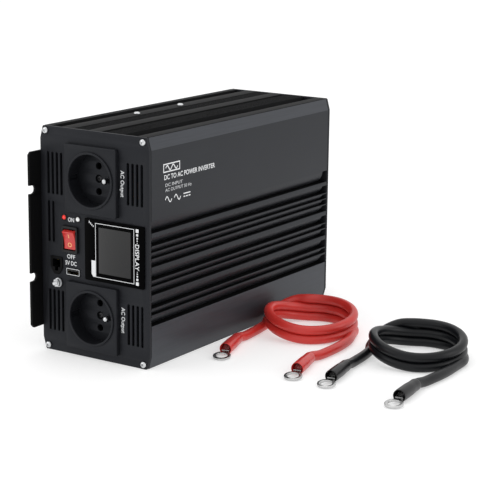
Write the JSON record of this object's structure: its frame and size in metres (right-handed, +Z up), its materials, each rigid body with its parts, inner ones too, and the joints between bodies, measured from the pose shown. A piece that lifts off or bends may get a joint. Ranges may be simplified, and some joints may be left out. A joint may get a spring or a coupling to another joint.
{
  "type": "power inverter",
  "caption": "Upright power inverter with a finned aluminium case, round mains sockets, a rocker switch and display at the front, a fan and battery studs behind, and loose leads.",
  "frame": {"origin": "on the ground, below the middle of the inverter's own box without the loose leads: halfway between the mounting plate's outer face and the finned face, and halfway between the front end of the mounting flange and the ends of the battery knobs", "axes": "+Z up; the front panel with the sockets faces -Y, the fan and battery terminals face +Y, the large finned face is +X and the mounting plate is -X"},
  "size_m": [0.2934, 0.284, 0.1728],
  "materials": {
    "case": "anodised charcoal grey, fine grain",
    "black_metal": "satin black",
    "panel": "textured dark grey",
    "black_plastic": "satin",
    "red_plastic": "gloss",
    "red_lamp": "gloss",
    "white_lamp": "gloss",
    "gloss_black": "gloss",
    "screen": "gloss",
    "steel": "nickel plated",
    "brass": "satin",
    "tinned": "bright tin plating",
    "board": "satin",
    "ferrite": "matte",
    "copper": "enamelled copper",
    "can": "satin sleeve",
    "red_cable": "smooth",
    "black_cable": "smooth"
  },
  "bodies": {
    "inverter": {"case_shell": "case", "base_plate": "black_metal", "front_panel": "panel", "rear_panel": "panel", "socket_lower": "black_plastic", "socket_upper": "black_plastic", "switch_body": "black_plastic", "remote_jack": "black_plastic", "fan_frame": "black_plastic", "terminal_base": "black_plastic", "fault_lamp": "red_lamp", "power_lamp": "white_lamp", "display_bezel": "gloss_black", "display_screen": "screen", "earth_pin_lower": "steel", "earth_pin_upper": "steel", "usb_port": "steel", "ground_terminal": "steel", "fan_guard": "steel", "positive_stud": "brass", "negative_stud": "brass", "main_board": "board", "capacitor_1": "can", "capacitor_2": "can", "transformer_core": "ferrite", "transistor_bar": "ferrite", "transformer_winding": "copper", "output_choke": "copper", "front_screw_1": "steel", "front_screw_2": "steel", "front_screw_3": "steel", "front_screw_4": "steel", "rear_screw_1": "steel", "rear_screw_2": "steel", "rear_screw_3": "steel", "rear_screw_4": "steel", "clamp_screw_1": "steel", "clamp_screw_2": "steel", "socket_screw_lower": "steel", "socket_screw_upper": "steel"},
    "rocker": {"switch_rocker": "red_plastic"},
    "fan_wheel": {"fan_rotor": "black_plastic"},
    "positive_washer_slide": {"positive_washer": "steel"},
    "positive_knob_turn": {"positive_knob": "red_plastic"},
    "negative_washer_slide": {"negative_washer": "steel"},
    "negative_knob_turn": {"negative_knob": "black_plastic"},
    "red_lead": {"red_lead_coil": "red_cable", "red_lead_inner_tail": "red_cable", "red_lead_inner_sleeve": "red_cable", "red_lead_inner_lug": "tinned", "red_lead_outer_tail": "red_cable", "red_lead_outer_sleeve": "red_cable", "red_lead_outer_lug": "tinned"},
    "black_lead": {"black_lead_coil": "black_cable", "black_lead_inner_tail": "black_cable", "black_lead_inner_sleeve": "black_cable", "black_lead_inner_lug": "tinned", "black_lead_outer_tail": "black_cable", "black_lead_outer_sleeve": "black_cable", "black_lead_outer_lug": "tinned"}
  },
  "joints": [
    {"name": "power_switch", "type": "hinge", "parent": "inverter", "child": "rocker", "pos_m": [-0.02115, -0.1292, 0.088], "axis": [-1, 0, 0], "range_deg": [0, 24]},
    {"name": "fan_spin", "type": "hinge", "parent": "inverter", "child": "fan_wheel", "pos_m": [-0.00125, 0.102, 0.118], "axis": [0, 1, 0], "continuous": true},
    {"name": "positive_washer_travel", "type": "slide", "parent": "inverter", "child": "positive_washer_slide", "axis": [0, 1, 0], "range_m": [0, 0.0061]},
    {"name": "positive_knob_turn", "type": "hinge", "parent": "positive_washer_slide", "child": "positive_knob_turn", "pos_m": [0.02125, 0.132, 0.036], "axis": [0, 1, 0], "range_deg": [0, 1728]},
    {"name": "negative_washer_travel", "type": "slide", "parent": "inverter", "child": "negative_washer_slide", "axis": [0, 1, 0], "range_m": [0, 0.0061]},
    {"name": "negative_knob_turn", "type": "hinge", "parent": "negative_washer_slide", "child": "negative_knob_turn", "pos_m": [-0.01875, 0.132, 0.036], "axis": [0, 1, 0], "range_deg": [0, 1728]},
    {"name": "red_lead_lift", "type": "slide", "parent": "inverter", "child": "red_lead", "axis": [0, 0, 1], "range_m": [0, 0.15]},
    {"name": "black_lead_lift", "type": "slide", "parent": "inverter", "child": "black_lead", "axis": [0, 0, 1], "range_m": [0, 0.15]}
  ],
  "couplings": [
    {"joint": "positive_washer_travel", "follows": "positive_knob_turn", "m_per_rad": 0.00019894},
    {"joint": "negative_washer_travel", "follows": "negative_knob_turn", "m_per_rad": 0.00019894}
  ]
}
